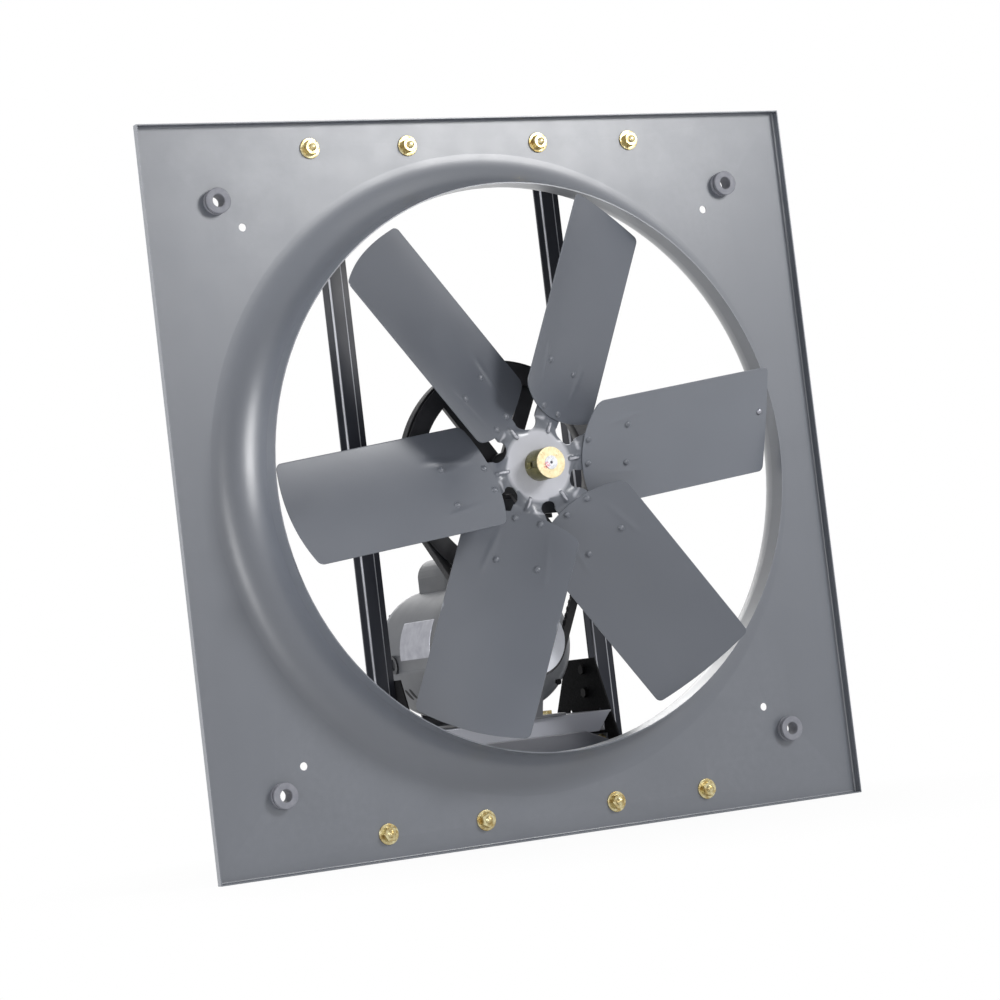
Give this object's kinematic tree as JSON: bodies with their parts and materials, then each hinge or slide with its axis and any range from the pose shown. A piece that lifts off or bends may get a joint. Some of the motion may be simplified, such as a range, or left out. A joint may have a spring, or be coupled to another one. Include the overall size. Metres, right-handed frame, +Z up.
{
  "type": "whole house fan",
  "caption": "Belt drive whole house fan: six riveted blades in a square orifice panel, with bearings, sheave, belt and motor on a frame behind it.",
  "frame": {"origin": "centre of the panel's front face, at the centre of the four panel isolators; the fan axis lies 5 mm above it", "axes": "X across the panel, Z up the panel, -Y out of the orifice on the blade side, +Y to the drive side"},
  "size_m": [1.016, 0.4887, 1.016],
  "materials": {
    "panel_paint": "semi-gloss grey enamel",
    "frame_paint": "semi-gloss charcoal enamel",
    "housing_iron": "painted casting",
    "zinc_yellow": "yellow passivated zinc plate",
    "isolator_rubber": "matte moulded rubber",
    "belt_rubber": "matte cloth covered rubber",
    "steel": "turned and ground",
    "fan_paint": "semi-gloss grey enamel",
    "sheave_iron": "black painted casting",
    "motor_paint": "satin grey enamel",
    "cast_aluminium": "die cast, satin",
    "winding_copper": "enamelled copper",
    "black_plastic": "moulded",
    "plate_aluminium": "bare, brushed"
  },
  "bodies": {
    "frame": {"orifice_panel": "panel_paint", "panel_isolators": "isolator_rubber", "left_strut": "frame_paint", "right_strut": "frame_paint", "upper_feet": "frame_paint", "lower_feet": "frame_paint", "panel_bolts": "zinc_yellow", "panel_washers": "zinc_yellow", "panel_nuts": "zinc_yellow", "bearing_shelf": "frame_paint", "bearing_shelf_bolts": "zinc_yellow", "front_bearing_housing": "housing_iron", "rear_bearing_housing": "housing_iron", "bearing_housing_bolts": "zinc_yellow", "left_gusset": "frame_paint", "right_gusset": "frame_paint", "gusset_bolts": "zinc_yellow", "lower_shelf": "frame_paint", "lower_shelf_bolts": "zinc_yellow", "drive_belt": "belt_rubber"},
    "fan_wheel": {"fan_shaft": "steel", "shaft_key": "steel", "front_bearing_race": "steel", "rear_bearing_race": "steel", "spider_hub": "fan_paint", "hub_bushing": "zinc_yellow", "hub_set_screws": "steel", "blade_1": "fan_paint", "blade_2": "fan_paint", "blade_3": "fan_paint", "blade_4": "fan_paint", "blade_5": "fan_paint", "blade_6": "fan_paint", "blade_rivets": "fan_paint", "balance_rivet": "steel", "fan_sheave": "sheave_iron", "sheave_set_screw": "steel"},
    "motor_carriage": {"motor_base": "frame_paint", "base_clamp_bolts": "zinc_yellow", "motor_cradle": "frame_paint", "cradle_bolts": "zinc_yellow", "front_rubber_ring": "isolator_rubber", "rear_rubber_ring": "isolator_rubber", "motor_shell": "motor_paint", "front_end_bell": "cast_aluminium", "rear_end_bell": "cast_aluminium", "motor_through_bolts": "zinc_yellow", "stator_core": "steel", "stator_windings": "winding_copper", "front_motor_bearing": "steel", "rear_motor_bearing": "steel", "capacitor_cover": "motor_paint", "capacitor": "black_plastic", "conduit_plug": "black_plastic", "data_plate": "plate_aluminium"},
    "motor_spindle": {"motor_shaft": "steel", "motor_rotor": "steel", "motor_pulley": "cast_aluminium", "pulley_set_screw": "steel"}
  },
  "joints": [
    {"name": "fan_spin", "type": "hinge", "parent": "frame", "child": "fan_wheel", "pos_m": [0, 0, 0.005], "axis": [0, 1, 0], "continuous": true},
    {"name": "belt_tension", "type": "slide", "parent": "frame", "child": "motor_carriage", "axis": [0, 0, 1], "range_m": [0, 0.015], "deforming": ["drive_belt"]},
    {"name": "motor_spin", "type": "hinge", "parent": "motor_carriage", "child": "motor_spindle", "pos_m": [0.013, 0, -0.233], "axis": [0, 1, 0], "continuous": true}
  ],
  "couplings": [
    {"joint": "motor_spin", "follows": "fan_spin", "ratio": 3.2505}
  ]
}
